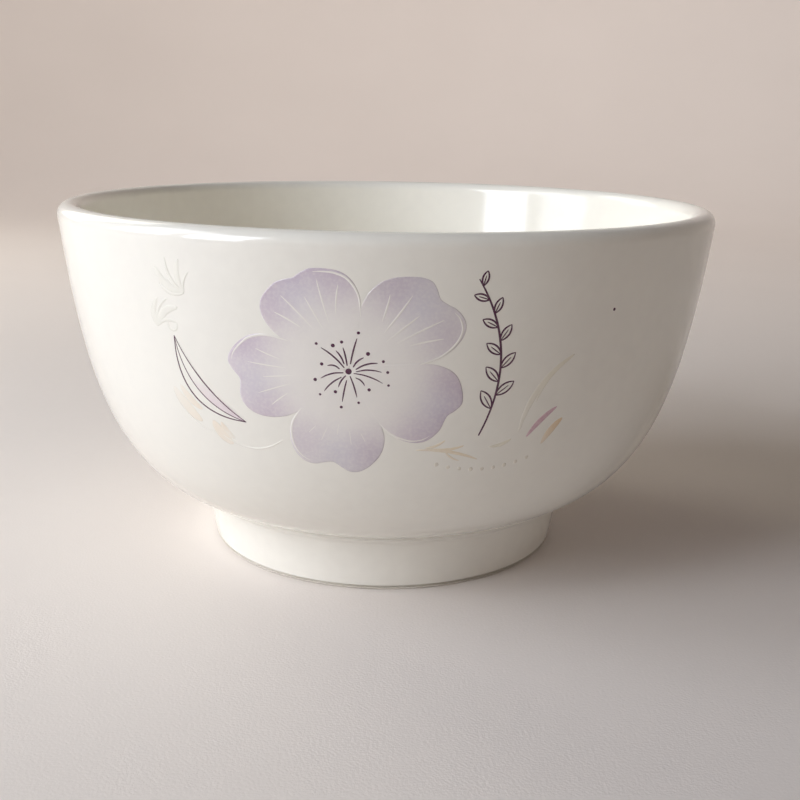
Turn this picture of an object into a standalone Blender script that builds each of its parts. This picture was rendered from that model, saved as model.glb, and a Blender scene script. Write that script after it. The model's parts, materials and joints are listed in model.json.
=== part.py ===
"""A footed ceramic rice bowl, built up as a pottery builds it.

The clay wall and floor carry a separate foot ring, joined by a slip bead. One glaze coat runs from
the inside floor over the lip and down to the foot's rim, and a second patch fills the foot's recess.
Thin printed transfers sit on the front of the glaze. The origin is the centre of the foot's rim,
on the surface that the bowl stands on, with +Z up. The decorated front faces -Y.
"""

import math

import bmesh
import bpy

# Driving dimensions, in metres.
MOUTH_RADIUS = 0.0575
HEIGHT = 0.062
LIP_THICKNESS = 0.0039
BASE_THICKNESS = 0.0050
FLOOR_HEIGHT = 0.0130
UNDERSIDE_INSET = 0.0012
FOOT_TOP_RADIUS = 0.0338
FOOT_BOTTOM_RADIUS = 0.0321
FOOT_WALL = 0.0038
FOOT_DRAFT = 0.0004
JOINT_HEIGHT = 0.0102
GLAZE = 0.0003
GAP = 0.0003
GLAZE_STOP = 0.0006
PATCH_STOP = 0.0020
RIM_EDGE = 0.0002
BEAD_SIZE = 0.0012
BEAD_SWELL = 0.00025
FILM = 0.00015
FILM_LIFT = 0.0002

SEGMENTS = 48
WALL_STEPS = 14
LIP_STEPS = 6
FLOOR_STEPS = 5
POINTS_PER_PETAL = 14
FLOWER_RINGS = 5
STROKE_STEPS = 12
WRAP_RADIUS = 0.055
SHARP_ANGLE = math.radians(40)
WELD = 1e-6

# The lip is a half round that leans out a little, so its crest stands over one radius above
# the wall's end.
LIP_RADIUS = LIP_THICKNESS / 2
LIP_RISE = 1.11 * LIP_RADIUS

# Where the outer wall's curve starts and ends, and the two handles that shape it: radius, height.
WALL_CURVE = (
    (0.0342, JOINT_HEIGHT),
    (0.0511, 0.0152),
    (0.0546, 0.0345),
    (MOUTH_RADIUS, HEIGHT - LIP_RISE),
)
# The inner floor's two curve handles: shares of the wall's radius there, and of its height over the floor.
FLOOR_HANDLES = ((0.89, 0.1), (0.6, 0.0))
# How far below the joint the bead starts, is fullest and thins out, and the same for the glaze
# that runs over it, in bead sizes.
BEAD_LEVELS = (0.8, 0.55, 0.25)
BEAD_COVER = (1.2, 0.7, 0.2)

CLAY = ("clay", (0.78, 0.74, 0.68), 0.70)
BARE_CLAY = ("foot_clay", (0.76, 0.71, 0.64), 0.75)
SLIP = ("slip", (0.77, 0.73, 0.67), 0.70)
GLAZE_CREAM = ("glaze", (0.84, 0.82, 0.77), 0.12)
LILAC = ("flower_print", (0.66, 0.60, 0.74), 0.20)
PLUM = ("line_print", (0.13, 0.05, 0.12), 0.25)
LEAF_PINK = ("leaf_print", (0.78, 0.68, 0.76), 0.20)
WHITE_RELIEF = ("relief_enamel", (0.87, 0.86, 0.82), 0.18)
PALE_GOLD = ("gold_print", (0.78, 0.67, 0.50), 0.25)


# Curves in the radius and height plane.


def bezier(curve, t):
    """The point on a cubic curve, and its direction as a unit vector."""
    s = 1 - t
    weights = (s**3, 3 * s * s * t, 3 * s * t * t, t**3)
    slopes = (-3 * s * s, 3 * s * s - 6 * s * t, 6 * s * t - 3 * t * t, 3 * t * t)
    r, z = (sum(w * p[i] for w, p in zip(weights, curve)) for i in (0, 1))
    dr, dz = (sum(w * p[i] for w, p in zip(slopes, curve)) for i in (0, 1))
    size = math.hypot(dr, dz)
    return r, z, dr / size, dz / size


def wall_point(t, depth):
    """The outer wall at 0 (foot) to 1 (lip), sunk by a depth into the wall."""
    r, z, dr, dz = bezier(WALL_CURVE, t)
    return r - depth * dz, z + depth * dr


def wall_at(height):
    """The outer wall's radius at a height, with the outward normal there."""
    low, high = 0.0, 1.0
    for _ in range(40):
        middle = (low + high) / 2
        if bezier(WALL_CURVE, middle)[1] < height:
            low = middle
        else:
            high = middle
    r, _, dr, dz = bezier(WALL_CURVE, low)
    return r, dz, -dr


def outer_line(depth):
    """The outer wall from the foot up to the lip."""
    return [wall_point(i / WALL_STEPS, depth) for i in range(WALL_STEPS + 1)]


def lip_line(depth):
    """The rounded lip, from the outside over the crest to the inside, without its two ends."""
    r, z, dr, dz = bezier(WALL_CURVE, 1.0)
    centre = (r - LIP_RADIUS * dz, z + LIP_RADIUS * dr)
    radius = LIP_RADIUS - depth
    start = math.atan2(-dr, dz)
    turns = [start + math.pi * i / LIP_STEPS for i in range(1, LIP_STEPS)]
    return [(centre[0] + radius * math.cos(a), centre[1] + radius * math.sin(a)) for a in turns]


def thickness(t):
    """The wall's whole thickness, which grows from the lip to the foot."""
    return BASE_THICKNESS + (LIP_THICKNESS - BASE_THICKNESS) * t


def inner_line(depth):
    """The inside, from the lip down the wall and across the floor to the axis."""
    wall = [
        wall_point(i / WALL_STEPS, thickness(i / WALL_STEPS) - depth)
        for i in range(WALL_STEPS, -1, -1)
    ]
    r, z = wall[-1]
    floor = FLOOR_HEIGHT - depth
    handles = [(across * r, floor + up * (z - floor)) for across, up in FLOOR_HANDLES]
    curve = ((r, z), *handles, (0.0, floor))
    return wall + [bezier(curve, i / FLOOR_STEPS)[:2] for i in range(1, FLOOR_STEPS)] + [(0.0, floor)]


def foot_radius(height):
    """The foot's outer face, which narrows a little towards the table."""
    return FOOT_BOTTOM_RADIUS + (FOOT_TOP_RADIUS - FOOT_BOTTOM_RADIUS) * height / JOINT_HEIGHT


# Mesh makers.


def finish_object(name, bm, look):
    """Turns a finished mesh into a named object with its own material."""
    bmesh.ops.recalc_face_normals(bm, faces=bm.faces)
    mesh = bpy.data.meshes.new(name)
    bm.to_mesh(mesh)
    bm.free()
    mesh.shade_smooth()
    mesh.set_sharp_from_angle(angle=SHARP_ANGLE)
    title, colour, roughness = look
    material = bpy.data.materials.new(f"{name}_{title}")
    material.use_nodes = True
    shader = material.node_tree.nodes["Principled BSDF"]
    shader.inputs["Base Color"].default_value = (*colour, 1.0)
    shader.inputs["Roughness"].default_value = roughness
    shader.inputs["Metallic"].default_value = 0.0
    mesh.materials.append(material)
    obj = bpy.data.objects.new(name, mesh)
    bpy.context.scene.collection.objects.link(obj)
    return obj


def lathe(name, section, look, ring=False):
    """Turns a section about the axis. A ring's section closes on itself, others end on the axis."""
    bm = bmesh.new()
    points = [bm.verts.new((r, 0.0, z)) for r, z in section]
    pairs = list(zip(points, points[1:])) + ([(points[-1], points[0])] if ring else [])
    edges = [bm.edges.new(pair) for pair in pairs]
    bmesh.ops.spin(
        bm,
        geom=points + edges,
        axis=(0, 0, 1),
        cent=(0, 0, 0),
        angle=2 * math.pi,
        steps=SEGMENTS,
    )
    bmesh.ops.remove_doubles(bm, verts=bm.verts, dist=WELD)
    return finish_object(name, bm, look)


def on_glaze(along, height, lift):
    """A place on the front of the glaze: along the wall from the middle, to the right, and up."""
    r, out, up = wall_at(height)
    r += lift * out
    angle = along / WRAP_RADIUS
    return r * math.sin(angle), -r * math.cos(angle), height + lift * up


def film(name, rows, look, closed=False):
    """A thin film on the glaze, from rows of (along, height). Closed rows run all the way round."""
    bm = bmesh.new()
    layers = []
    for lift in (FILM_LIFT, FILM_LIFT + FILM):
        layers.append([[bm.verts.new(on_glaze(u, v, lift)) for u, v in row] for row in rows])
    count = len(rows[0])
    columns = count if closed else count - 1
    for layer in layers:
        for low, high in zip(layer, layer[1:]):
            for i in range(columns):
                j = (i + 1) % count
                bm.faces.new((low[i], low[j], high[j], high[i]))
    below, above = layers
    last = len(rows) - 1
    for k in (last,) if closed else (0, last):
        for i in range(columns):
            j = (i + 1) % count
            bm.faces.new((below[k][i], below[k][j], above[k][j], above[k][i]))
    if not closed:
        for i in (0, count - 1):
            for k in range(last):
                bm.faces.new((below[k][i], below[k + 1][i], above[k + 1][i], above[k][i]))
    bmesh.ops.remove_doubles(bm, verts=bm.verts, dist=WELD)
    return finish_object(name, bm, look)


def bowed(start, end, bow):
    """A curve's four handles, from its two ends and how far its middle stands left of the way between."""
    across, up = end[0] - start[0], end[1] - start[1]
    push = bow * 4 / 3 / math.hypot(across, up)
    near, far = (
        (start[0] + across * share - up * push, start[1] + up * share + across * push)
        for share in (0.25, 0.75)
    )
    return start, near, far, end


def stroke(name, start, end, bow, width, look):
    """A brush stroke on the glaze, pointed at both ends. Its places are in millimetres."""
    curve = [(u * MM, v * MM) for u, v in bowed(start, end, bow)]
    turns = [math.pi * (i + 0.5) / STROKE_STEPS for i in range(STROKE_STEPS)]
    middle = [(turn, *bezier(curve, 0.5 - 0.5 * math.cos(turn))) for turn in turns]
    rows = []
    for side in (-1, 0, 1):
        row = [curve[0]]
        for turn, u, v, du, dv in middle:
            half = side * width * MM / 2 * math.sin(turn)
            row.append((u - half * dv, v + half * du))
        rows.append(row + [curve[3]])
    return film(name, rows, look)


# Clay.


def make_bowl_body():
    """The wall, lip and floor, inside the glaze. Its flat underside carries the foot."""
    skin = GLAZE + GAP
    outside = [p for p in outer_line(skin) if p[1] > JOINT_HEIGHT + GAP]
    edge = outside[0][0] - UNDERSIDE_INSET
    underside = [(0.0, JOINT_HEIGHT), (edge, JOINT_HEIGHT)]
    inside = inner_line(skin)
    lathe("bowl_body", underside + outside + lip_line(skin) + inside, CLAY)


def make_foot_ring():
    """The tall foot: a ledge near the bottom stops the glaze, and the rim under it stays bare."""
    skin = GLAZE + GAP
    top = JOINT_HEIGHT - GAP
    stop = GLAZE_STOP - GAP
    inner_bottom = FOOT_BOTTOM_RADIUS - FOOT_WALL
    inner = inner_bottom - FOOT_DRAFT
    section = [
        (inner_bottom, 0.0),
        (FOOT_BOTTOM_RADIUS - RIM_EDGE, 0.0),
        (foot_radius(0), RIM_EDGE),
        (foot_radius(stop), stop),
        (foot_radius(stop) - skin, stop),
        (foot_radius(top) - skin, top - BEAD_SIZE),
        (foot_radius(top) - skin - BEAD_SIZE / 2, top),
        (inner, top),
        (inner, RIM_EDGE * 2),
    ]
    lathe("foot_ring", section, BARE_CLAY, ring=True)


def make_luting_bead():
    """The slip pressed into the corner under the wall, a little proud of the foot's face."""
    skin = GLAZE + GAP
    top = JOINT_HEIGHT - GAP
    face = foot_radius(top) - skin + GAP
    start, full, thin = (top - BEAD_SIZE * level for level in BEAD_LEVELS)
    section = [
        (face, start),
        (face + BEAD_SWELL, full),
        (face + BEAD_SWELL, thin),
        (face, top),
        (face - BEAD_SIZE / 2 + GAP / 2, top),
    ]
    lathe("luting_bead", section, SLIP, ring=True)


# Glaze.


def glaze_foot_line(depth):
    """The glaze's face on the outer foot, from its stop up to the bead and the wall's corner."""
    top = JOINT_HEIGHT - GAP
    r = foot_radius(top) - depth
    swell = BEAD_SWELL + GAP
    start, full, thin = (top - BEAD_SIZE * level for level in BEAD_COVER)
    return [
        (foot_radius(GLAZE_STOP) - depth, GLAZE_STOP),
        (r, start),
        (r + swell, full),
        (r + swell, thin),
    ]


def make_glaze_coat():
    """One skin over the inside, the lip, the outside and the outer foot."""
    face = glaze_foot_line(0.0) + outer_line(0.0)[1:] + lip_line(0.0) + inner_line(0.0)
    back = glaze_foot_line(GLAZE) + outer_line(GLAZE)[1:] + lip_line(GLAZE) + inner_line(GLAZE)
    lathe("glaze_coat", face[::-1] + back, GLAZE_CREAM)


def make_glaze_base_patch():
    """The glaze on the underside of the floor, turned down a little way inside the foot."""
    r = FOOT_BOTTOM_RADIUS - FOOT_WALL - FOOT_DRAFT - GAP
    top = JOINT_HEIGHT - GAP
    section = [
        (0.0, top),
        (r, top),
        (r, PATCH_STOP),
        (r - GLAZE, PATCH_STOP),
        (r - GLAZE, top - GLAZE * 3),
        (r - GLAZE * 3, top - GLAZE),
        (0.0, top - GLAZE),
    ]
    lathe("glaze_base_patch", section, GLAZE_CREAM)


# Printed transfers on the front. Places are millimetres along the wall and up from the table.

MM = 0.001
# A plain flower of even petals: its centre, its reach along and up the wall, and its first petal's
# direction in degrees.
FLOWER_CENTRE = (-5.0, 43.0)
FLOWER_REACH = (18.0, 16.0)
PETAL_COUNT = 5
FIRST_PETAL = 44.0
# The two powers that round a petal's end, and how far out the petals part, as a share of the reach.
PETAL_ROUNDING = (2.6, 0.38)
FLOWER_MIDDLE = 0.45
# Each stroke: its two ends, how far it bows to the left of the way between them, its width and its look.
STROKES = {
    "leaf_transfer": ((-31.5, 46.0), (-21.0, 34.0), -3.0, 3.0, LEAF_PINK),
    "vine_transfer": ((12.0, 56.0), (14.0, 33.0), 3.0, 2.4, PLUM),
    "scroll_relief_upper": ((-34.5, 55.0), (-29.0, 53.0), 2.0, 1.8, WHITE_RELIEF),
    "scroll_relief_lower": ((-35.0, 44.5), (-28.0, 49.5), 2.5, 1.6, WHITE_RELIEF),
    "feather_transfer_left": ((-33.0, 37.5), (-23.0, 30.0), -2.0, 2.4, PALE_GOLD),
    "branch_transfer_right": ((6.0, 30.5), (14.5, 28.5), 0.5, 1.8, PALE_GOLD),
    "plume_transfer_right": ((18.5, 30.0), (28.0, 44.0), 2.5, 2.6, PALE_GOLD),
}


def flower_reach(angle):
    """How far out the flower's edge is in a direction, as a share of its whole reach."""
    half = 180 / PETAL_COUNT
    off = abs((angle - FIRST_PETAL + half) % (2 * half) - half) / half
    side_power, end_power = PETAL_ROUNDING
    return max(FLOWER_MIDDLE, (1 - off**side_power) ** end_power)


def make_flower_transfer():
    """The flower's whole print, one film with a lobed edge."""
    count = PETAL_COUNT * POINTS_PER_PETAL
    angles = [FIRST_PETAL + 360 * i / count for i in range(count)]
    rows = []
    for k in range(FLOWER_RINGS + 1):
        row = []
        for angle in angles:
            far = flower_reach(angle) * k / FLOWER_RINGS
            turn = math.radians(angle)
            u = FLOWER_CENTRE[0] + far * FLOWER_REACH[0] * math.cos(turn)
            v = FLOWER_CENTRE[1] + far * FLOWER_REACH[1] * math.sin(turn)
            row.append((u * MM, v * MM))
        rows.append(row)
    film("flower_transfer", rows, LILAC, closed=True)


def main():
    for old in list(bpy.data.objects):
        bpy.data.objects.remove(old, do_unlink=True)
    make_bowl_body()
    make_foot_ring()
    make_luting_bead()
    make_glaze_coat()
    make_glaze_base_patch()
    make_flower_transfer()
    for name, settings in STROKES.items():
        stroke(name, *settings)


main()
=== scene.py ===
import json
import math

import bmesh
import bpy
import numpy as np
from mathutils import Matrix, Vector

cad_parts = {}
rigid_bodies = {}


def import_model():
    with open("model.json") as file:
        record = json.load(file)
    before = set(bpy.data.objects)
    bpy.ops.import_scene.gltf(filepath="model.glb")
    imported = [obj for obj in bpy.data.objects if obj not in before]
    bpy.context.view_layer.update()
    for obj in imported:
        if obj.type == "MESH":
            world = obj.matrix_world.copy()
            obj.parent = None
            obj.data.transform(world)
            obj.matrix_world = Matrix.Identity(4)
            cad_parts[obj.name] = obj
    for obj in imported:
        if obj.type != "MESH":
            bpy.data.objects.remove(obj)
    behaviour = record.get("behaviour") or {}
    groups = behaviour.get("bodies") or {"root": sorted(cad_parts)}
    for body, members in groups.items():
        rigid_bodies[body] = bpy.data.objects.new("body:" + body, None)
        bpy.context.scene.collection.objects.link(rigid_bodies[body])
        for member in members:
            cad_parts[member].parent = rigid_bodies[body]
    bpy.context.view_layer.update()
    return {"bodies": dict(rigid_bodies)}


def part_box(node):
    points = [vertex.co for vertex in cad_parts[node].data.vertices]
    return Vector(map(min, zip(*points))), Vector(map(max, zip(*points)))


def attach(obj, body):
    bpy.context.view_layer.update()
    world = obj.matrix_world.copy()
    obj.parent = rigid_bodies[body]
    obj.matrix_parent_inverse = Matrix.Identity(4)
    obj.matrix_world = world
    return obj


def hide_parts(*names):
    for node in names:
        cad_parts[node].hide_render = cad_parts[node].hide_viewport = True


# The finished look of a footed rice bowl: fine turned clay and glaze, and the printed and raised
# decoration on its front. Lengths are metres. The decoration's places, widths and sizes are in
# millimetres on the wall: a place is how far along it from the middle of the front, to the right,
# and how far up from the table. A lift is how far a surface stands off the glaze, in metres.

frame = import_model()
(BODY,) = frame["bodies"]

# The bowl's sizes. Its mouth, its height and where its two glazes stop come from the frame.
MM = 0.001
MOUTH_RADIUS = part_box("glaze_coat")[1].x
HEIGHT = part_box("glaze_coat")[1].z
GLAZE_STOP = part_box("glaze_coat")[0].z
PATCH_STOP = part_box("glaze_base_patch")[0].z
FOOT_BOTTOM_RADIUS = 0.0321
FOOT_TOP_RADIUS = 0.0338
FOOT_WALL = 0.0038
RECESS_DRAFT = 0.0004
RECESS_BOTTOM_RADIUS = FOOT_BOTTOM_RADIUS - FOOT_WALL
RECESS_TOP_RADIUS = RECESS_BOTTOM_RADIUS - RECESS_DRAFT
JOINT_HEIGHT = 0.0102
LIP_THICKNESS = 0.0039
BASE_THICKNESS = 0.0050
FLOOR_HEIGHT = 0.0130
GLAZE = 0.0003
GAP = 0.0003
SKIN = GLAZE + GAP
RIM_EDGE = 0.0002

LIP_RADIUS = LIP_THICKNESS / 2
LIP_RISE = 1.11 * LIP_RADIUS
# The outer wall from the foot to the lip, as a cubic curve of (radius, height).
WALL_CURVE = (
    (0.0342, JOINT_HEIGHT),
    (0.0511, 0.0152),
    (0.0546, 0.0345),
    (MOUTH_RADIUS, HEIGHT - LIP_RISE),
)
# The radius at which distances along the wall become angles.
WRAP_RADIUS = 0.055

# The curve that takes the inside down to its floor: its first handle's radius and how much of the
# drop is left there, and the radius of its second handle, which is level with the floor. All are
# shares of what the inner wall ends with.
FLOOR_TURN = (0.89, 0.1)
FLOOR_FLAT = 0.6

# The glaze's rolled stop on the foot, and above it how high a place is and how far the glaze stands
# out there: flat at first, and then over the slip bead.
STOP_ROLL = 1.2 * GLAZE
FOOT_FACE = (
    (0.0030, 0.0),
    (0.0060, 0.0),
    (0.0080, 0.0),
    (0.0087, 0.00003),
    (0.0091, 0.00022),
    (0.0094, 0.00034),
    (0.0097, 0.00032),
    (0.00995, 0.00022),
)

# The slow waves of the hand-finished wall: how many go round, their share, their phase and their
# twist per metre of height. They fade in over RIPPLE_FADE from RIPPLE_START up.
RIPPLES = ((2, 1.0, 0.8, 0), (3, 0.7, 1.1, 45), (5, 0.5, -2.0, 110), (9, 0.3, 0.7, -170))
RIPPLE_DEPTH = 0.00005
RIPPLE_START = 0.011
RIPPLE_FADE = 0.012

# Columns round the axis, how near two points become one, and the angle over which an edge is sharp.
CLAY_COLUMNS = 144
GLAZE_COLUMNS = 228
BASE_COLUMNS = 192
FOOT_COLUMNS = 288
WELD = 1e-7
CREASE = math.radians(50)
# The name under which a mesh holds its print's colours.
PRINT = "print"


# Curves.


def bezier(curve, t):
    """Points on a cubic curve, and their directions as unit vectors."""
    t = np.asarray(t, float)[..., None]
    a, b, c, d = (np.array(p, float) for p in curve)
    s = 1 - t
    at = s**3 * a + 3 * s * s * t * b + 3 * s * t * t * c + t**3 * d
    way = s * s * (b - a) + 2 * s * t * (c - b) + t * t * (d - c)
    return at, way / np.linalg.norm(way, axis=-1, keepdims=True)


def through(handles, steps, closed=False):
    """A smooth line through handles of any number of values, with steps from each to the next."""
    p = np.array(handles, float)
    if closed:
        p = np.vstack([p[-1], p, p[0], p[1]])
    else:
        p = np.vstack([2 * p[0] - p[1], p, 2 * p[-1] - p[-2]])
    t = (np.arange(steps) / steps)[:, None]
    parts = []
    for a, b, c, d in zip(p, p[1:], p[2:], p[3:]):
        square = (2 * a - 5 * b + 4 * c - d) * t**2
        cube = (3 * b - a - 3 * c + d) * t**3
        parts.append(0.5 * (2 * b + (c - a) * t + square + cube))
    line = np.vstack(parts)
    return line if closed else np.vstack([line, p[-2]])


def smooth(x):
    """0 to 1 with level ends."""
    x = np.clip(x, 0, 1)
    return x * x * (3 - 2 * x)


def direction(degrees):
    """A unit vector in a direction in degrees."""
    turn = math.radians(degrees)
    return np.array((math.cos(turn), math.sin(turn)))


# Places on the outer wall and its directions there, to be looked up by height.
WALL_AT, WALL_WAY = bezier(WALL_CURVE, np.linspace(0, 1, 600))


def ripple(angle, height):
    """How far the hand-finished wall stands off a true circle, fading out towards the foot."""
    waves = sum(
        share * np.sin(count * angle + phase + twist * height)
        for count, share, phase, twist in RIPPLES
    )
    return smooth((height - RIPPLE_START) / RIPPLE_FADE) * RIPPLE_DEPTH * waves


def on_wall(along, height, lift):
    """Places on the front of the glaze, from millimetres along and up, lifted by metres."""
    along, height, lift = np.broadcast_arrays(*(np.asarray(x, float) for x in (along, height, lift)))
    angle = along * MM / WRAP_RADIUS
    z = height * MM
    r = np.interp(z, WALL_AT[:, 1], WALL_AT[:, 0]) + ripple(angle, z)
    out = np.interp(z, WALL_AT[:, 1], WALL_WAY[:, 1])
    up = -np.interp(z, WALL_AT[:, 1], WALL_WAY[:, 0])
    r = r + lift * out
    return np.stack([r * np.sin(angle), -r * np.cos(angle), z + lift * up], -1)


# Meshes.


def shell(name, rows, tints=None, sharp=math.pi):
    """A closed skin over rows of points that each run round. A row may shrink to one point. Its tints
    are the print's colours at the points, and its edges over the sharp angle stay sharp."""
    n, m = rows.shape[:2]
    i, j = np.meshgrid(np.arange(n - 1), np.arange(m), indexing="ij")
    k = (j + 1) % m
    quads = np.stack([i * m + j, i * m + k, (i + 1) * m + k, (i + 1) * m + j], -1).reshape(-1, 4)
    mesh = bpy.data.meshes.new(name)
    mesh.from_pydata(rows.reshape(-1, 3).tolist(), [], quads.tolist())
    if tints is not None:
        layer = mesh.color_attributes.new(PRINT, "FLOAT_COLOR", "POINT")
        values = np.ones((n * m, 4), np.float32)
        values[:, :3] = tints.reshape(-1, 3)
        layer.data.foreach_set("color", values.ravel())
    bm = bmesh.new()
    bm.from_mesh(mesh)
    bmesh.ops.remove_doubles(bm, verts=bm.verts, dist=WELD)
    bmesh.ops.recalc_face_normals(bm, faces=bm.faces)
    bm.to_mesh(mesh)
    bm.free()
    mesh.shade_smooth()
    if sharp < math.pi:
        mesh.set_sharp_from_angle(angle=sharp)
    obj = bpy.data.objects.new(name, mesh)
    bpy.context.scene.collection.objects.link(obj)
    return obj


def turned(name, section, columns, uneven=0.0, ring=False, sharp=math.pi):
    """Turns a section of (radius, height) about the axis, with the wall's ripple scaled by uneven."""
    section = np.array(section, float)
    if ring:
        section = np.vstack([section, section[:1]])
    angle = np.linspace(0, math.tau, columns, endpoint=False)[None, :]
    r, z = section[:, :1], section[:, 1:]
    far = np.where(r > 0, r + uneven * ripple(angle, z + 0 * angle), 0.0)
    rows = np.stack([far * np.sin(angle), -far * np.cos(angle), z + 0 * angle], -1)
    return shell(name, rows, sharp=sharp)


def joined(name, pieces):
    """Several pieces as one."""
    bm = bmesh.new()
    for piece in pieces:
        bm.from_mesh(piece.data)
    mesh = bpy.data.meshes.new(name)
    bm.to_mesh(mesh)
    bm.free()
    for piece in pieces:
        old = piece.data
        bpy.data.objects.remove(piece)
        bpy.data.meshes.remove(old)
    obj = bpy.data.objects.new(name, mesh)
    bpy.context.scene.collection.objects.link(obj)
    return obj


def belongs(piece, slot, material, *nodes):
    """Puts a piece on the bowl, in place of its CAD nodes."""
    piece.data.materials.clear()
    piece.data.materials.append(material)
    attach(piece, BODY)
    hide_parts(*nodes)


# Sections of the clay and the glaze.


def offset_line(t, depth):
    """The outer wall from the foot to the lip, sunk by a depth."""
    at, way = bezier(WALL_CURVE, t)
    depth = np.broadcast_to(depth, t.shape)
    return np.stack([at[:, 0] - depth * way[:, 1], at[:, 1] + depth * way[:, 0]], -1)


def lip_line(depth, steps):
    """The rounded lip from the outside to the inside, without its ends."""
    at, way = bezier(WALL_CURVE, np.array([1.0]))
    r, z = at[0]
    dr, dz = way[0]
    centre = (r - LIP_RADIUS * dz, z + LIP_RADIUS * dr)
    start = math.atan2(-dr, dz)
    turn = start + math.pi * np.arange(1, steps) / steps
    radius = LIP_RADIUS - depth
    return np.stack([centre[0] + radius * np.cos(turn), centre[1] + radius * np.sin(turn)], -1)


def inner_line(depth, wall_steps, floor_steps):
    """The inside from the lip down to the middle of the floor."""
    t = np.linspace(1, 0, wall_steps)
    wall = offset_line(t, BASE_THICKNESS + (LIP_THICKNESS - BASE_THICKNESS) * t - depth)
    r, z = wall[-1]
    floor = FLOOR_HEIGHT - depth
    handle, drop = FLOOR_TURN
    curve = ((r, z), (handle * r, floor + drop * (z - floor)), (FLOOR_FLAT * r, floor), (0.0, floor))
    across, _ = bezier(curve, np.linspace(0, 1, floor_steps)[1:])
    across[-1, 0] = 0.0
    return np.vstack([wall, across])


def foot_radius(height):
    """The foot's outer face, which narrows a little towards the table."""
    return FOOT_BOTTOM_RADIUS + (FOOT_TOP_RADIUS - FOOT_BOTTOM_RADIUS) * height / JOINT_HEIGHT


def foot_face(depth):
    """The glaze on the foot: its rolled stop, its face, and the bead it runs over."""
    centre = foot_radius(GLAZE_STOP) - STOP_ROLL - depth
    stop = [
        (centre + STOP_ROLL * math.cos(a), GLAZE_STOP + STOP_ROLL + STOP_ROLL * math.sin(a))
        for a in np.linspace(-math.pi / 2, 0, 7)
    ]
    face = [(foot_radius(z) + out - depth, z) for z, out in FOOT_FACE]
    return through(stop + face, 3)


def glaze_section(depth, wall_steps, lip_steps, floor_steps):
    """The glaze from its stop on the foot, up the wall, over the lip and down to the floor's middle."""
    wall = offset_line(np.linspace(0, 1, wall_steps), depth)
    inside = inner_line(depth, wall_steps, floor_steps)
    return np.vstack([foot_face(depth), wall, lip_line(depth, lip_steps), inside])


# Materials. Their noise scales are per metre.

# The sockets of Blender's Mix node that work on colours: its factor, its two colours and its result.
MIX_FACTOR, MIX_A, MIX_B, MIX_RESULT = 0, 6, 7, 2

GLAZE_DEEP = (0.86, 0.835, 0.765)
GLAZE_PALE = (0.875, 0.853, 0.785)
GLAZE_MOTTLE = (0.885, 0.862, 0.79)
GLAZE_SPECK = (0.42, 0.33, 0.25)
GLAZE_IOR = 1.52
CLEAR = (1.0, 1.0, 1.0)
# Each clay: its pale and its deep colour, and how deep its grain is.
FIRED_CLAY = ((0.80, 0.76, 0.70), (0.74, 0.69, 0.62), 0.00001)
BARE_CLAY = ((0.78, 0.74, 0.67), (0.70, 0.65, 0.57), 0.00002)
FIRED_SLIP = ((0.79, 0.75, 0.69), (0.75, 0.70, 0.64), 0.00001)
CLAY_GRIT = (0.30, 0.23, 0.17)


def node(tree, kind, values=None, **settings):
    """A new node with its settings, and its inputs' values or links by name."""
    made = tree.nodes.new(kind)
    for key, value in settings.items():
        setattr(made, key, value)
    for key, value in (values or {}).items():
        if isinstance(value, bpy.types.NodeSocket):
            tree.links.new(value, made.inputs[key])
        else:
            made.inputs[key].default_value = value
    return made


def noise(tree, coords, scale, detail=3.0, rough=0.5):
    """A soft noise from 0 to 1."""
    values = {"Vector": coords, "Scale": scale, "Detail": detail, "Roughness": rough}
    return node(tree, "ShaderNodeTexNoise", values).outputs[0]


def spread(tree, value, low, high, start=0.3, end=0.7):
    """A noise value stretched, so that it runs from low at start to high at end."""
    values = {"Value": value, "From Min": start, "From Max": end, "To Min": low, "To Max": high}
    return node(tree, "ShaderNodeMapRange", values).outputs["Result"]


def mixed(tree, factor, a, b, blend="MIX"):
    """Two colours mixed or blended by a factor."""
    made = node(tree, "ShaderNodeMix", data_type="RGBA", blend_type=blend)
    for key, value in ((MIX_FACTOR, factor), (MIX_A, a), (MIX_B, b)):
        if isinstance(value, bpy.types.NodeSocket):
            tree.links.new(value, made.inputs[key])
        else:
            made.inputs[key].default_value = value if key == MIX_FACTOR else (*value, 1.0)
    return made.outputs[MIX_RESULT]


def specks(tree, coords, scale, size, share):
    """Small round marks with soft edges, in a share of evenly sized cells."""
    cells = node(tree, "ShaderNodeTexVoronoi", {"Vector": coords, "Scale": scale})
    near = spread(tree, cells.outputs["Distance"], 1.0, 0.0, start=0.6 * size, end=size)
    level = node(tree, "ShaderNodeSeparateColor", {"Color": cells.outputs["Color"]}).outputs[0]
    chosen = node(tree, "ShaderNodeMath", {0: level, 1: share}, operation="LESS_THAN").outputs[0]
    return node(tree, "ShaderNodeMath", {0: near, 1: chosen}, operation="MULTIPLY").outputs[0]


def bumped(tree, height, distance, below=None):
    """A bump whose height is in metres, over another if one is given."""
    values = {"Height": height, "Distance": distance, "Strength": 1.0}
    if below is not None:
        values["Normal"] = below
    return node(tree, "ShaderNodeBump", values).outputs["Normal"]


def new_material(name):
    """A material with its tree, its shader and the coordinates to draw it by."""
    material = bpy.data.materials.new(name)
    material.use_nodes = True
    tree = material.node_tree
    shader = tree.nodes["Principled BSDF"]
    coords = node(tree, "ShaderNodeTexCoord").outputs["Object"]
    return material, tree, shader, coords


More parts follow.
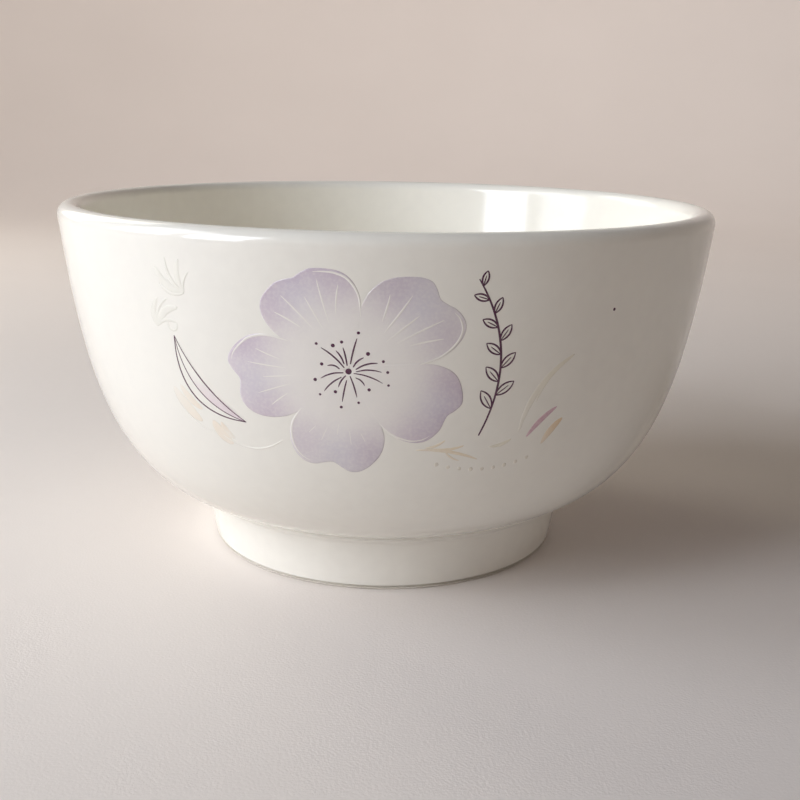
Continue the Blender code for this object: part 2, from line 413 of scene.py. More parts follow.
def glaze_material(name, gloss=(0.07, 0.13), printed=False, grain=0.2):
    """Warm white glaze: faint clouding, rare iron specks, soft waves and a fine orange peel. A printed
    one is tinted by the print's colours, which the grain thins in places."""
    material, tree, shader, coords = new_material(name)
    cloud = spread(tree, noise(tree, coords, 38.0, detail=4.0), 0.0, 1.0)
    mottle = spread(tree, noise(tree, coords, 420.0, detail=2.0), 0.0, 1.0)
    colour = mixed(tree, cloud, GLAZE_DEEP, GLAZE_PALE)
    colour = mixed(tree, mottle, colour, GLAZE_MOTTLE)
    colour = mixed(tree, specks(tree, coords, 190.0, size=0.035, share=0.02), colour, GLAZE_SPECK)
    if printed:
        tint = node(tree, "ShaderNodeAttribute", attribute_name=PRINT).outputs["Color"]
        thin = spread(tree, noise(tree, coords, 2300.0, detail=1.0), 0.0, grain, start=0.4, end=0.7)
        tint = mixed(tree, thin, tint, CLEAR)
        colour = mixed(tree, 1.0, colour, tint, "MULTIPLY")
    tree.links.new(colour, shader.inputs["Base Color"])
    dull = spread(tree, noise(tree, coords, 90.0, detail=4.0), *gloss)
    tree.links.new(dull, shader.inputs["Roughness"])
    shader.inputs["IOR"].default_value = GLAZE_IOR
    waves = bumped(tree, noise(tree, coords, 45.0, detail=0.0), distance=0.00001)
    peel = bumped(tree, noise(tree, coords, 900.0, detail=1.0), distance=0.000001, below=waves)
    tree.links.new(peel, shader.inputs["Normal"])
    return material


def clay_material(name, pale, deep, grain):
    """Bare fired clay: clouded, finely grained, with small dark grit."""
    material, tree, shader, coords = new_material(name)
    cloud = spread(tree, noise(tree, coords, 120.0, detail=4.0), 0.0, 1.0)
    colour = mixed(tree, cloud, deep, pale)
    colour = mixed(tree, specks(tree, coords, 1100.0, size=0.18, share=0.05), colour, CLAY_GRIT)
    tree.links.new(colour, shader.inputs["Base Color"])
    tree.links.new(spread(tree, noise(tree, coords, 600.0), 0.62, 0.85), shader.inputs["Roughness"])
    rough = bumped(tree, noise(tree, coords, 2600.0, detail=4.0, rough=0.7), distance=grain)
    rough = bumped(tree, noise(tree, coords, 300.0, detail=2.0), distance=grain, below=rough)
    tree.links.new(rough, shader.inputs["Normal"])
    return material


# Clay and glaze.

# How far in from the wall's foot the clay's flat underside starts.
UNDERSIDE_INSET = 0.0012
# The bevel at the foot's top corner: how far in, and how far down.
SHOULDER = (0.0006, 0.0012)
# The slip bead's section: out from a line that stands GAP off the foot's clay, and up from the
# foot's top.
SLIP_BEAD = ((0.0, -0.00096), (0.00025, -0.0006), (0.00025, -0.0003), (0.0, 0.0), (-0.00045, 0.0))
# The recess glaze: its round corner, and its rolled stop, as distances in from the glaze's own
# outer face and up from PATCH_STOP.
RECESS_FILLET = 0.0012
RECESS_STOP = ((0.00008, 0.0), (0.7 * GLAZE, 0.00005), (GLAZE, 0.00018))


def make_clay():
    """The thrown body under the glaze."""
    outside = offset_line(np.linspace(0.02, 1, 50), SKIN)
    outside = outside[outside[:, 1] > JOINT_HEIGHT + GAP]
    edge = outside[0, 0] - UNDERSIDE_INSET
    underside = [(0.0, JOINT_HEIGHT), (edge * 0.5, JOINT_HEIGHT), (edge, JOINT_HEIGHT)]
    inside = inner_line(SKIN, wall_steps=40, floor_steps=14)
    section = np.vstack([underside, outside, lip_line(SKIN, steps=14), inside])
    body = turned("clay_wall", section, CLAY_COLUMNS, uneven=1.0)
    belongs(body, "clay", clay_material("fired_clay", *FIRED_CLAY), "bowl_body")


def rounded(points, radius, steps=5):
    """A closed section with its corners rounded."""
    p = np.array(points, float)
    line = []
    for before, at, after in zip(np.roll(p, 1, 0), p, np.roll(p, -1, 0)):
        a, b = before - at, after - at
        la, lb = np.linalg.norm(a), np.linalg.norm(b)
        cut = min(radius, 0.45 * la, 0.45 * lb)
        start, end = at + a / la * cut, at + b / lb * cut
        for t in np.linspace(0, 1, steps):
            line.append((1 - t) ** 2 * start + 2 * t * (1 - t) * at + t * t * end)
    return np.array(line)


def make_foot():
    """The foot ring, bare on its rim and recessed behind its glaze."""
    top = JOINT_HEIGHT - GAP
    stop = GLAZE_STOP - GAP
    shoulder_in, shoulder_down = SHOULDER
    corners = [
        (RECESS_BOTTOM_RADIUS, 0.0),
        (FOOT_BOTTOM_RADIUS - RIM_EDGE, 0.0),
        (foot_radius(0), RIM_EDGE),
        (foot_radius(stop), stop),
        (foot_radius(stop) - SKIN, stop),
        (foot_radius(top) - SKIN, top - shoulder_down),
        (foot_radius(top) - SKIN - shoulder_in, top),
        (RECESS_TOP_RADIUS, top),
        (RECESS_TOP_RADIUS, 2 * RIM_EDGE),
    ]
    ring = turned("clay_foot", rounded(corners, radius=0.0003), FOOT_COLUMNS, ring=True, sharp=CREASE)
    belongs(ring, "foot_clay", clay_material("bare_clay", *BARE_CLAY), "foot_ring")


def make_bead():
    """The slip that seals the joint between the foot and the wall."""
    top = JOINT_HEIGHT - GAP
    face = foot_radius(top) - SKIN + GAP
    section = rounded([(face + out, top + up) for out, up in SLIP_BEAD], radius=0.0001)
    bead = turned("slip_bead", section, CLAY_COLUMNS, ring=True)
    belongs(bead, "slip", clay_material("fired_slip", *FIRED_SLIP), "luting_bead")


def make_glaze():
    """The glaze from the foot over the lip to the inside's floor."""
    face = glaze_section(0.0, wall_steps=90, lip_steps=26, floor_steps=26)
    back = glaze_section(GLAZE, wall_steps=45, lip_steps=14, floor_steps=14)
    coat = turned("glaze_skin", np.vstack([face[::-1], back]), GLAZE_COLUMNS, uneven=1.0)
    belongs(coat, "glaze", glaze_material("warm_white_glaze"), "glaze_coat")


def make_base_glaze():
    """The glaze in the foot's recess: its ceiling, a round corner and a skirt with a rolled stop."""
    r = RECESS_TOP_RADIUS - GAP
    top = JOINT_HEIGHT - GAP
    inner, under = r - GLAZE, top - GLAZE
    cap = [(x, top) for x in np.linspace(0, r, 8)]
    edge = [(r, PATCH_STOP + 0.0001)]
    stop = [(r - inward, PATCH_STOP + up) for inward, up in RECESS_STOP]
    fillet = RECESS_FILLET
    corner = [
        (inner - fillet + fillet * math.cos(a), under - fillet + fillet * math.sin(a))
        for a in np.linspace(0, math.pi / 2, 9)
    ]
    skirt = [(inner, z) for z in np.linspace(PATCH_STOP + GLAZE, corner[0][1] - 0.0002, 10)]
    ceiling = [(x, under) for x in np.linspace(corner[-1][0] * 0.96, 0, 12)]
    section = np.vstack([cap, edge, stop, skirt, corner, ceiling])
    base = turned("glaze_base", section, BASE_COLUMNS, sharp=CREASE)
    belongs(base, "glaze", glaze_material("base_glaze", gloss=(0.09, 0.17)), "glaze_base_patch")


# The printed and raised decoration.

# How far its pieces reach down into the glaze.
SINK = 0.00006
LILAC = (0.72, 0.64, 0.78)
GREY_LILAC = (0.76, 0.73, 0.82)
BLUE_LILAC = (0.80, 0.82, 0.94)
MAUVE = (0.70, 0.60, 0.74)
PLUM = (0.10, 0.028, 0.075)
VIOLET_INK = (0.72, 0.47, 0.60)
PEACH = (1.0, 0.90, 0.80)
GOLD = (0.93, 0.82, 0.66)
STRAW = (0.91, 0.88, 0.78)
AMBER = (0.86, 0.66, 0.44)
WHITE = (1.04, 1.04, 1.04)

BRUSH_STEPS = 6
BRUSH_SIDES = 8
DOT_COLUMNS = 14


def tinted(amount, tone):
    """The print's colour as a share of the glaze's, from 0, clear, to 1, the whole tone."""
    return 1 - np.asarray(amount)[..., None] * (1 - np.array(tone))


def patch(name, middle, outline, tone, lift, inward, spots=(), rings=22, wash=1.0):
    """A flat printed shape. Its outline's handles are along, up and the tint's strength there, which
    fades inward by a power. Spots are soft clouds: along, up, size, strength and tone. The wash tints
    the whole shape. The rings crowd towards the outline, where the shape slopes down."""
    loop = through(outline, 4, closed=True)
    share = np.linspace(0, 1, rings + 1)[:, None]
    share = 1 - (1 - share) ** 1.4
    u = middle[0] + (loop[:, 0] - middle[0]) * share
    v = middle[1] + (loop[:, 1] - middle[1]) * share
    tints = tinted(np.clip(loop[:, 2], 0, 1) * share**inward, tone) * wash
    for su, sv, size, strength, spot_tone in spots:
        cloud = strength * np.exp(-((u - su) ** 2 + (v - sv) ** 2) / size**2)
        tints = tints * tinted(np.clip(cloud, 0, 1), spot_tone)
    height = lift * (1 - 0.6 * smooth((share - 0.97) / 0.03)) + 0 * u
    rows = np.vstack([on_wall(u, v, height), on_wall(u, v, -SINK)[::-1]])
    return shell(name, rows, np.vstack([tints, tints[::-1]]))


def brush(name, handles, width, tone, lift, ends=(0.0, 0.0), strength=(1.0, 1.0)):
    """A stroke along handles of (along, up), widest in the middle, with its two ends' widths as shares,
    its tint's strength at both ends, and a rounded back of height lift."""
    line = through(handles, BRUSH_STEPS)
    way = np.gradient(line, axis=0)
    way /= np.linalg.norm(way, axis=1, keepdims=True)
    run = np.concatenate([[0], np.cumsum(np.linalg.norm(np.diff(line, axis=0), axis=1))])
    run /= run[-1]
    first, last = ends
    full = np.sin(math.pi * np.clip(run, 0, 1)) ** 0.55
    floor = first + (last - first) * run
    half = width / 2 * (floor + (1 - floor) * full)
    turn = np.linspace(0, math.pi, BRUSH_SIDES)
    across = np.cos(turn)
    u = line[:, :1] - way[:, 1:] * half[:, None] * across
    v = line[:, 1:] + way[:, :1] * half[:, None] * across
    height = lift * np.sin(turn) * np.sqrt(np.clip(half / (width / 2), 0, 1))[:, None]
    low = np.full((len(line), 2), -SINK)
    u = np.hstack([u, u[:, -1:], u[:, :1]])
    v = np.hstack([v, v[:, -1:], v[:, :1]])
    rows = on_wall(u, v, np.hstack([height, low]))
    start = rows[:1].mean(1, keepdims=True).repeat(rows.shape[1], 1)
    end = rows[-1:].mean(1, keepdims=True).repeat(rows.shape[1], 1)
    # A pointed end's row has no width, so the point stands in its place.
    kept = slice(0 if first else 1, len(line) if last else -1)
    rows = np.vstack([start, rows[kept], end])
    amount = strength[0] + (strength[1] - strength[0]) * np.concatenate([[0], run[kept], [1]])
    tints = tinted(amount, tone)[:, None, :].repeat(rows.shape[1], 1)
    return shell(name, rows, tints)


def dot(name, u, v, radius, tone, lift, amount=1.0):
    """A round spot with a domed top."""
    turn = np.linspace(0, math.tau, DOT_COLUMNS, endpoint=False)
    share = np.array([0.0, 0.5, 0.85, 1.0])[:, None]
    at = (u + radius * share * np.cos(turn), v + radius * share * np.sin(turn))
    dome = lift * (1 - 0.7 * share**3) + 0 * at[0]
    rows = np.vstack([on_wall(*at, dome), on_wall(*at, -SINK)[::-1]])
    tints = np.broadcast_to(tinted(amount, tone), (*rows.shape[:2], 3))
    return shell(name, rows, tints)


def bowed(start, end, bow, steps=6):
    """A line from start to end whose middle stands off by bow, to the left of the way between them."""
    start, end = np.array(start, float), np.array(end, float)
    way = (end - start) / np.linalg.norm(end - start)
    share = np.linspace(0, 1, steps)[:, None]
    return start + (end - start) * share + 4 * share * (1 - share) * bow * np.array((-way[1], way[0]))


def curl(centre, radius, first, turn, shrink):
    """A round line about a centre, from a direction and over a turn in degrees, drawn in by a share."""
    share = np.linspace(0, 1, 9)[:, None]
    angle = np.radians(first + turn * share)
    return np.array(centre) + radius * (1 - shrink * share) * np.hstack([np.cos(angle), np.sin(angle)])


# A plain flower of even petals: its centre, its reach along and up the wall, and its first petal's
# direction in degrees. The same as the frame's flower_transfer.
FLOWER_CENTRE = np.array((-5.0, 43.0))
FLOWER_REACH = np.array((18.0, 16.0))
PETAL_COUNT = 5
FIRST_PETAL = 44.0
# A side on a petal is a share of this many degrees from its middle: clockwise below 0, and the other
# way above it.
PETAL_SPREAD = 41.0
PETAL_TONES = (GREY_LILAC, LILAC, LILAC)
PETAL_WASH = np.array((0.975, 0.96, 0.99))
PETAL_LIFT = 0.000015
PETAL_STEP = 0.000006
# Soft clouds on a petal: their side and tone, and how far out, how large and how strong they are.
PETAL_CLOUDS = ((-0.45, LILAC), (0.1, BLUE_LILAC), (0.5, MAUVE))
CLOUD_REACH, CLOUD_SIZE, CLOUD_STRENGTH = 0.78, 3.6, 0.5
# Veins on a petal: their side, and where they start and end, as shares of the flower's reach.
PETAL_VEINS = (
    (-0.52, 0.5, 0.78),
    (-0.26, 0.42, 0.86),
    (0.0, 0.38, 0.74),
    (0.28, 0.42, 0.84),
    (0.54, 0.5, 0.76),
)
# The sides that the raised line along a petal's rim runs through.
RIM_SIDES = (-0.92, -0.8, -0.65, -0.5, -0.35, -0.22)
VEIN_TONE = (1.0, 0.99, 1.01)
# Where a thin line has its handles, as shares of its length.
LINE_HANDLES = (0.0, 0.35, 0.7, 1.0)


def flower_point(degrees, share):
    """A place on the flower, in a direction and at a share of its reach."""
    return FLOWER_CENTRE + FLOWER_REACH * share * direction(degrees)


def petal_middle(k):
    """The direction of petal k's middle in degrees."""
    return FIRST_PETAL + 360 / PETAL_COUNT * k


def petal_edge(k, side):
    """How far out petal k's edge is at a side, with a notch at its tip and a slight ruffle."""
    notch = 0.07 * math.exp(-((side / 0.16) ** 2))
    ruffle = 0.018 * math.sin(9 * side + 1.7 * k)
    size = 0.97 + 0.03 * math.cos(2.4 * k)
    arch = (1 - abs(side) ** 2.8) ** 0.42
    return size * arch - notch + ruffle * (1 - side * side)


def make_petal(k):
    """One petal, deep at its rim and pale inside, from the heart out and round to the heart again."""
    middle = petal_middle(k)
    outline = [(*flower_point(middle, 0.02), 0.0)]
    for side in np.linspace(-0.96, 0.96, 19):
        reach = max(petal_edge(k, side), 0.3)
        depth = smooth((reach - 0.45) / 0.45) * (0.66 + 0.2 * math.sin(3 * side + 2 * k))
        outline.append((*flower_point(middle + PETAL_SPREAD * side, reach), depth))
    clouds = [
        (*flower_point(middle + PETAL_SPREAD * side, CLOUD_REACH), CLOUD_SIZE, CLOUD_STRENGTH, tone)
        for side, tone in PETAL_CLOUDS
    ]
    tone = PETAL_TONES[k % len(PETAL_TONES)]
    lift = PETAL_LIFT + k * PETAL_STEP
    centre = flower_point(middle, 0.5)
    return patch(f"petal_{k + 1}", centre, outline, tone, lift, inward=2.3, spots=clouds, wash=PETAL_WASH)


def petal_veins(k):
    """A fan of fine raised lines on a petal, and one along the clockwise half of its rim."""
    middle = petal_middle(k)
    lines = []
    for side, start, end in PETAL_VEINS:
        line = []
        for share in LINE_HANDLES:
            way = middle + PETAL_SPREAD * side * (0.75 + 0.25 * share)
            line.append(flower_point(way, start + (end - start) * share))
        lines.append(brush("vein", line, 0.28, VEIN_TONE, 0.000035))
    rim = [flower_point(middle + PETAL_SPREAD * side, petal_edge(k, side) * 0.97) for side in RIM_SIDES]
    lines.append(brush("rim", rim, 0.36, VEIN_TONE, 0.00005))
    return lines


def make_flower():
    """The petals, each in a piece of its own, and their veins."""
    look = glaze_material("flower_print", printed=True)
    for k in range(PETAL_COUNT):
        belongs(make_petal(k), "flower_print", look, "flower_transfer")
    veins = [line for k in range(PETAL_COUNT) for line in petal_veins(k)]
    belongs(joined("petal_veins", veins), "flower_print", look, "flower_transfer")


STAMEN_COUNT = 15
STAMEN_LIFT = 0.00007


def make_stamens(ink):
    """Even threads round the heart, longer and shorter by turns, each with a dot beyond its end."""
    lines = [dot("heart", *FLOWER_CENTRE, 0.44, PLUM, STAMEN_LIFT)]
    dots = []
    for k in range(STAMEN_COUNT):
        way = math.tau * (k + 0.25 * math.sin(5.0 * k)) / STAMEN_COUNT
        out = np.array((math.cos(way), math.sin(way)))
        across = np.array((-out[1], out[0]))
        start = 1.0 + 0.3 * math.sin(3.0 * k)
        end = 3.9 + 1.1 * math.sin(2.3 * k + 0.6)
        sag = 0.3 * math.cos(way)
        points = []
        for share in LINE_HANDLES:
            aside = across * sag * math.sin(math.pi * share)
            points.append(FLOWER_CENTRE + out * (start + (end - start) * share) + aside)
        lines.append(brush("filament", points, 0.25, PLUM, STAMEN_LIFT, ends=(0.6, 0.3)))
        tip = FLOWER_CENTRE + out * (end + 0.8)
        dots.append(dot("anther", *tip, 0.24 + 0.04 * math.sin(4.0 * k), PLUM, STAMEN_LIFT))
    belongs(joined("stamen_lines", lines), "line_print", ink, "flower_transfer")
    belongs(joined("stamen_dots", dots), "line_print", ink, "flower_transfer")


LEAF_TIPS = ((-31.5, 46.0), (-21.0, 34.0))
# The leaf's three lines, from its inner edge out: their bows and widths.
LEAF_BOWS = (-1.2, -2.9, -4.4)
LEAF_WIDTHS = (0.24, 0.2, 0.24)
LEAF_BLUSH = (0.86, 0.72, 0.86)
LINE_LIFT = 0.00004


def make_leaf(ink):
    """The crescent leaf: three plum lines that meet at both tips, and a blush near the lower one."""
    edges = [bowed(*LEAF_TIPS, bow, steps=9) for bow in LEAF_BOWS]
    inner, middle, _ = edges
    edge = np.vstack([inner, middle[::-1][1:-1]])
    blush = 0.75 * smooth((LEAF_TIPS[0][1] - 4 - edge[:, 1]) / 7)
    outline = np.column_stack([edge, blush])
    fill = patch("leaf_blush", edge.mean(0), outline, LEAF_BLUSH, 0.00002, inward=0.4, rings=10)
    belongs(fill, "leaf_print", glaze_material("leaf_print", printed=True), "leaf_transfer")
    lines = [
        brush("line", line, width, PLUM, LINE_LIFT, ends=(0.5, 0.5))
        for line, width in reversed(list(zip(edges, LEAF_WIDTHS)))
    ]
    belongs(joined("leaf_lines", lines), "line_print", ink, "leaf_transfer")


SPRIG_ENDS = ((12.0, 56.0), (14.0, 33.0))
SPRIG_BOW = 3.0
SPRIG_LEAVES = 10


def make_sprig(ink):
    """A plain upright sprig: one bowed stem, with small leaves by turns on its left and right."""
    stem = bowed(*SPRIG_ENDS, SPRIG_BOW, steps=24)
    lines = [brush("stem", stem, 0.34, PLUM, LINE_LIFT, ends=(0.4, 0.7))]
    for k in range(SPRIG_LEAVES):
        root = stem[1 + 2 * k]
        along = stem[2 * k] - root
        along /= np.linalg.norm(along)
        side = np.array((-along[1], along[0])) * (1 if k % 2 else -1)
        size = 2.1 + 0.14 * k
        tip = root + size * (0.72 * along + 0.72 * side)
        for bow in (-0.2, 0.2):
            edge = bowed(root, tip, bow * size)
            lines.append(brush("leaf_edge", edge, 0.26, PLUM, LINE_LIFT, ends=(0.5, 0.4)))
        rib = bowed(root, root + (tip - root) * 0.7, 0)
        lines.append(brush("leaf_rib", rib, 0.17, PLUM, LINE_LIFT, ends=(0.6, 0.3)))
    belongs(joined("sprig_lines", lines), "line_print", ink, "vine_transfer")


RELIEF = (0.965, 0.97, 0.955)
RELIEF_LIFT = 0.00004
# Each stroke of a spray: its width, and its length as a share of the spray's size.
SPRAY = ((0.5, 0.72), (1.2, 1.0), (0.5, 0.95), (0.9, 0.8), (0.4, 0.55))
SPRAY_BOW = 0.16


def scroll(root, first, step, size):
    """A plain raised spray: bowed strokes that fan out from one root, and a small curl beside it. The
    first stroke's direction and the step to the next are in degrees."""
    root = np.array(root)
    strokes = []
    for k, (width, share) in enumerate(SPRAY):
        tip = root + size * share * direction(first + step * k)
        line = bowed(root, tip, SPRAY_BOW * size * share)
        strokes.append(brush("stroke", line, width, RELIEF, RELIEF_LIFT))
    eye = root + 0.55 * size * direction(first)
    line = curl(eye, 0.2 * size, first, turn=-300, shrink=0.5)
    strokes.append(brush("stroke", line, 0.4, RELIEF, RELIEF_LIFT))
    return strokes


def make_scrolls():
    """The two raised sprays at the left."""
    look = glaze_material("relief_enamel", printed=True)
    for name, strokes, cad in (
        ("scroll_upper", scroll((-28.5, 52.5), 170, -25, 6.0), "scroll_relief_upper"),
        ("scroll_lower", scroll((-34.5, 47.0), 14, 22, 5.5), "scroll_relief_lower"),
    ):
        belongs(joined(name, strokes), "relief_enamel", look, cad)


# The painted strokes: width, tone, strength at both ends, then the two ends and the bow.
LEFT_FEATHERS = (
    (1.9, PEACH, (0.2, 0.7), (-33.5, 38.0), (-29.0, 33.0), -0.5),
    (1.2, PEACH, (0.4, 0.8), (-32.0, 38.5), (-28.5, 35.0), -0.4),
    (1.9, PEACH, (0.8, 0.5), (-27.0, 33.5), (-24.0, 30.0), -0.3),
    (1.0, PEACH, (0.9, 0.2), (-25.5, 33.5), (-23.5, 31.0), -0.3),
    (0.26, WHITE, (1, 1), (-26.0, 31.5), (-15.0, 32.0), -2.0),
    (0.24, WHITE, (1, 1), (-33.0, 36.0), (-27.0, 31.5), -1.0),
)
RIGHT_BRANCH = (
    (0.5, GOLD, (0.6, 1.0), (4.5, 31.0), (14.5, 29.0), 0.6),
    (0.45, GOLD, (0.7, 1.0), (7.0, 31.2), (12.0, 31.5), -0.4),
    (0.4, GOLD, (0.7, 0.9), (6.0, 31.3), (9.0, 32.5), -0.3),
    (0.3, GOLD, (0.6, 0.8), (9.0, 30.8), (11.5, 29.0), -0.3),
)
RIGHT_PLUMES = (
    (1.0, STRAW, (0.2, 0.9), (20.5, 33.0), (28.0, 44.5), 1.8),
    (0.5, STRAW, (0.4, 1.0), (22.5, 37.5), (26.0, 43.0), 0.6),
    (0.9, VIOLET_INK, (0.9, 1.0), (22.0, 32.0), (26.5, 36.5), 0.4),
    (1.2, AMBER, (0.4, 1.0), (25.0, 30.5), (28.0, 34.5), 0.3),
    (0.6, STRAW, (0.7, 0.9), (16.0, 31.0), (19.5, 32.0), -0.3),
)
STROKE_LIFT = 0.00003
RAISED_LIFT = 0.00006
# The row of beads under the branch: its ends, its bow and how many there are.
BEAD_ROW = ((8.0, 28.5), (23.0, 28.5), -1.2, 9)
BEAD_TONE = (0.84, 0.80, 0.74)


def stroked(width, tone, strength, *line):
    """One stroke of a table above. The white ones stand higher."""
    lift = RAISED_LIFT if tone is WHITE else STROKE_LIFT
    return brush("stroke", bowed(*line), width, tone, lift, strength=strength)


def make_gold():
    """The peach and gold strokes at the lower left and right, with the beads under the branch."""
    look = glaze_material("gold_print", printed=True)
    feathers = [stroked(*row) for row in LEFT_FEATHERS]
    belongs(joined("feathers_left", feathers), "gold_print", look, "feather_transfer_left")
    branch = [stroked(*row) for row in RIGHT_BRANCH]
    for k, place in enumerate(bowed(*BEAD_ROW)):
        branch.append(dot("bead", *place, 0.34 - 0.02 * (k % 3), BEAD_TONE, STROKE_LIFT, amount=0.75))
    belongs(joined("branch_right", branch), "gold_print", look, "branch_transfer_right")
    plumes = [stroked(*row) for row in RIGHT_PLUMES]
    belongs(joined("plumes_right", plumes), "gold_print", look, "plume_transfer_right")


def make_marks(ink):
    """One small iron spot in the glaze."""
    belongs(dot("iron_spot", 34.0, 50.5, 0.24, PLUM, 0.00002), "line_print", ink, "glaze_coat")


# Stage, light and camera.

UP = Vector((0.0, 0.0, 1.0))

# The stage: its flat rings, the bend where it turns up, its wall's radius and height, and its colours.
STAGE_RINGS = (0.2, 0.4)
STAGE_BEND = 0.35
STAGE_RADIUS = 0.95
STAGE_HEIGHT = 0.9
STAGE_COLUMNS = 128
STAGE_COLOURS = ((0.80, 0.742, 0.70), (0.82, 0.762, 0.72))

# Soft lights aimed at the bowl: place, size, power in watts and colour.
DAYLIGHT = (0.87, 0.92, 1.0)
LIGHTS = {
    "window_near": ((-0.62, -0.42, 0.38), (0.3, 0.55), 1.8, DAYLIGHT),
    "window_far": ((-0.62, -0.05, 0.38), (0.3, 0.55), 0.9, DAYLIGHT),
    "window_back": ((-0.5, 0.45, 0.36), (0.3, 0.5), 0.55, (1.0, 0.98, 0.86)),
}
AIM = (0.0, 0.0, 0.03)
LIGHT_SPREAD = math.radians(115)
# Lights over the floor that face its wall: direction in degrees and power in watts. Each hangs at one
# distance and height, and aims at another.
WALL_LIGHTS = {
    "wall_back": (90, 1.7),
    "wall_left": (180, 1.0),
    "wall_front": (270, 0.25),
    "wall_right": (0, 0.2),
}
WALL_LIGHT_PLACE = (0.25, 0.8)
WALL_LIGHT_AIM = (0.9, 0.15)
WALL_LIGHT_SIZE = (0.8, 0.3)
WALL_LIGHT_COLOUR = (1.0, 0.93, 0.88)
# The weak lamp over the mouth: its height, cone, soft edge, radius, power in watts and colour.
LAMP_HEIGHT = 0.75
LAMP_CONE = math.radians(8)
LAMP_EDGE = 0.6
LAMP_RADIUS = 0.008
LAMP_POWER = 10.5
LAMP_COLOUR = (1.0, 0.97, 0.88)
# The faint light from all round.
ROOM_GLOW = (1.0, 0.86, 0.78, 1.0)
ROOM_GLOW_STRENGTH = 0.01

# The camera: its place, how far it turns to the right, looks down and rolls anticlockwise in degrees,
# and its lens and sensor in millimetres.
CAMERA_PLACE = Vector((0.0, -0.1955, 0.0767))
CAMERA_TURNS = (0.84, 14.99, 0.96)
CAMERA_LENS = 47.7
CAMERA_SENSOR = 36.0


def make_stage():
    """A plain pale floor that turns up into a round wall, open above."""
    flat = [(r, 0.0) for r in STAGE_RINGS]
    curve = [
        (STAGE_RADIUS - STAGE_BEND + STAGE_BEND * math.sin(a), STAGE_BEND - STAGE_BEND * math.cos(a))
        for a in np.linspace(0, math.pi / 2, 16)
    ]
    rows = flat + curve + [(STAGE_RADIUS, STAGE_HEIGHT)]
    count = STAGE_COLUMNS
    angles = np.linspace(0, math.tau, count, endpoint=False)
    places = [(r * math.cos(a), r * math.sin(a), z) for r, z in rows for a in angles]
    faces = []
    for k in range(len(rows) - 1):
        for i in range(count):
            j = (i + 1) % count
            faces.append((k * count + i, (k + 1) * count + i, (k + 1) * count + j, k * count + j))
    faces.append(tuple(range(count)))
    mesh = bpy.data.meshes.new("floor")
    mesh.from_pydata(places, [], faces)
    mesh.shade_smooth()
    floor = bpy.data.objects.new("floor", mesh)
    bpy.context.scene.collection.objects.link(floor)
    material, tree, shader, coords = new_material("pale_floor")
    cloud = spread(tree, noise(tree, coords, 9.0, detail=3.0), 0.0, 1.0)
    colour = mixed(tree, cloud, *STAGE_COLOURS)
    tree.links.new(colour, shader.inputs["Base Color"])
    tree.links.new(spread(tree, noise(tree, coords, 500.0), 0.7, 0.9), shader.inputs["Roughness"])
    grain = bumped(tree, noise(tree, coords, 2500.0, detail=2.0), distance=0.00004)
    tree.links.new(grain, shader.inputs["Normal"])
    mesh.materials.append(material)


def area_light(name, place, target, size, power, colour):
    """A soft rectangular light at a place, aimed at a target, which the camera doesn't see."""
    light = bpy.data.lights.new(name, "AREA")
    light.shape = "RECTANGLE"
    light.size, light.size_y = size
    light.energy = power
    light.color = colour
    light.spread = LIGHT_SPREAD
    obj = bpy.data.objects.new(name, light)
    obj.location = place
    obj.rotation_euler = (Vector(target) - Vector(place)).to_track_quat("-Z", "Y").to_euler()
    obj.visible_camera = False
    bpy.context.scene.collection.objects.link(obj)


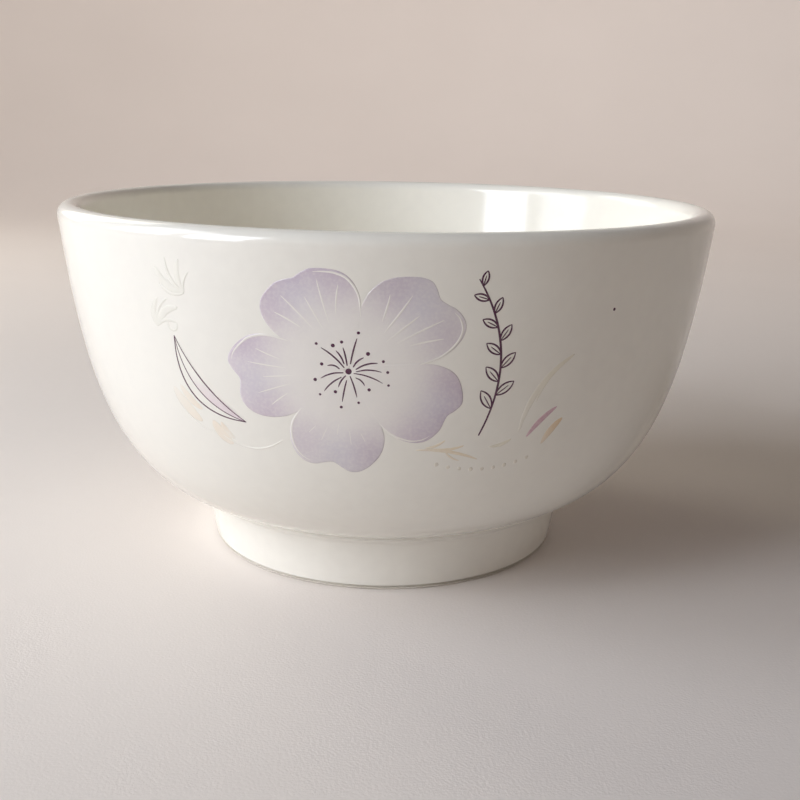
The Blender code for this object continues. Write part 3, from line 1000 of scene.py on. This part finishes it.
def make_lights():
    """Soft windows on the left, lights on the stage's wall, and a weak lamp over the mouth."""
    for name, (place, size, power, colour) in LIGHTS.items():
        area_light(name, place, AIM, size, power, colour)
    for name, (degrees, power) in WALL_LIGHTS.items():
        way = Vector((*direction(degrees), 0.0))
        place, target = (way * far + UP * high for far, high in (WALL_LIGHT_PLACE, WALL_LIGHT_AIM))
        area_light(name, place, target, WALL_LIGHT_SIZE, power, WALL_LIGHT_COLOUR)
    lamp = bpy.data.lights.new("mouth_lamp", "SPOT")
    lamp.energy = LAMP_POWER
    lamp.color = LAMP_COLOUR
    lamp.spot_size = LAMP_CONE
    lamp.spot_blend = LAMP_EDGE
    lamp.shadow_soft_size = LAMP_RADIUS
    obj = bpy.data.objects.new("mouth_lamp", lamp)
    obj.location = UP * LAMP_HEIGHT
    obj.visible_camera = False
    bpy.context.scene.collection.objects.link(obj)
    world = bpy.data.worlds.new("room")
    world.use_nodes = True
    sky = world.node_tree.nodes["Background"]
    sky.inputs["Color"].default_value = ROOM_GLOW
    sky.inputs["Strength"].default_value = ROOM_GLOW_STRENGTH
    bpy.context.scene.world = world


def make_camera():
    """Close in front of the bowl and just above its lip, looking down, and rolled so that the picture
    turns a little clockwise."""
    yaw, pitch, roll = (math.radians(a) for a in CAMERA_TURNS)
    ahead = Vector((math.sin(yaw) * math.cos(pitch), math.cos(yaw) * math.cos(pitch), -math.sin(pitch)))
    right = ahead.cross(UP).normalized()
    up = right.cross(ahead)
    across = math.cos(roll) * right + math.sin(roll) * up
    above = math.cos(roll) * up - math.sin(roll) * right
    camera = bpy.data.cameras.new("camera")
    camera.sensor_width = CAMERA_SENSOR
    camera.lens = CAMERA_LENS
    camera.clip_start = 0.01
    obj = bpy.data.objects.new("camera", camera)
    matrix = Matrix.Identity(4)
    for column, axis in enumerate((across, above, -ahead, CAMERA_PLACE)):
        for row in range(3):
            matrix[row][column] = axis[row]
    obj.matrix_world = matrix
    bpy.context.scene.collection.objects.link(obj)
    bpy.context.scene.camera = obj


make_clay()
make_foot()
make_bead()
make_glaze()
make_base_glaze()
make_flower()
line_ink = glaze_material("line_print", gloss=(0.12, 0.2), printed=True, grain=0.04)
make_stamens(line_ink)
make_leaf(line_ink)
make_sprig(line_ink)
make_scrolls()
make_gold()
make_marks(line_ink)
make_stage()
make_lights()
make_camera()
bpy.context.scene.view_settings.view_transform = "Standard"
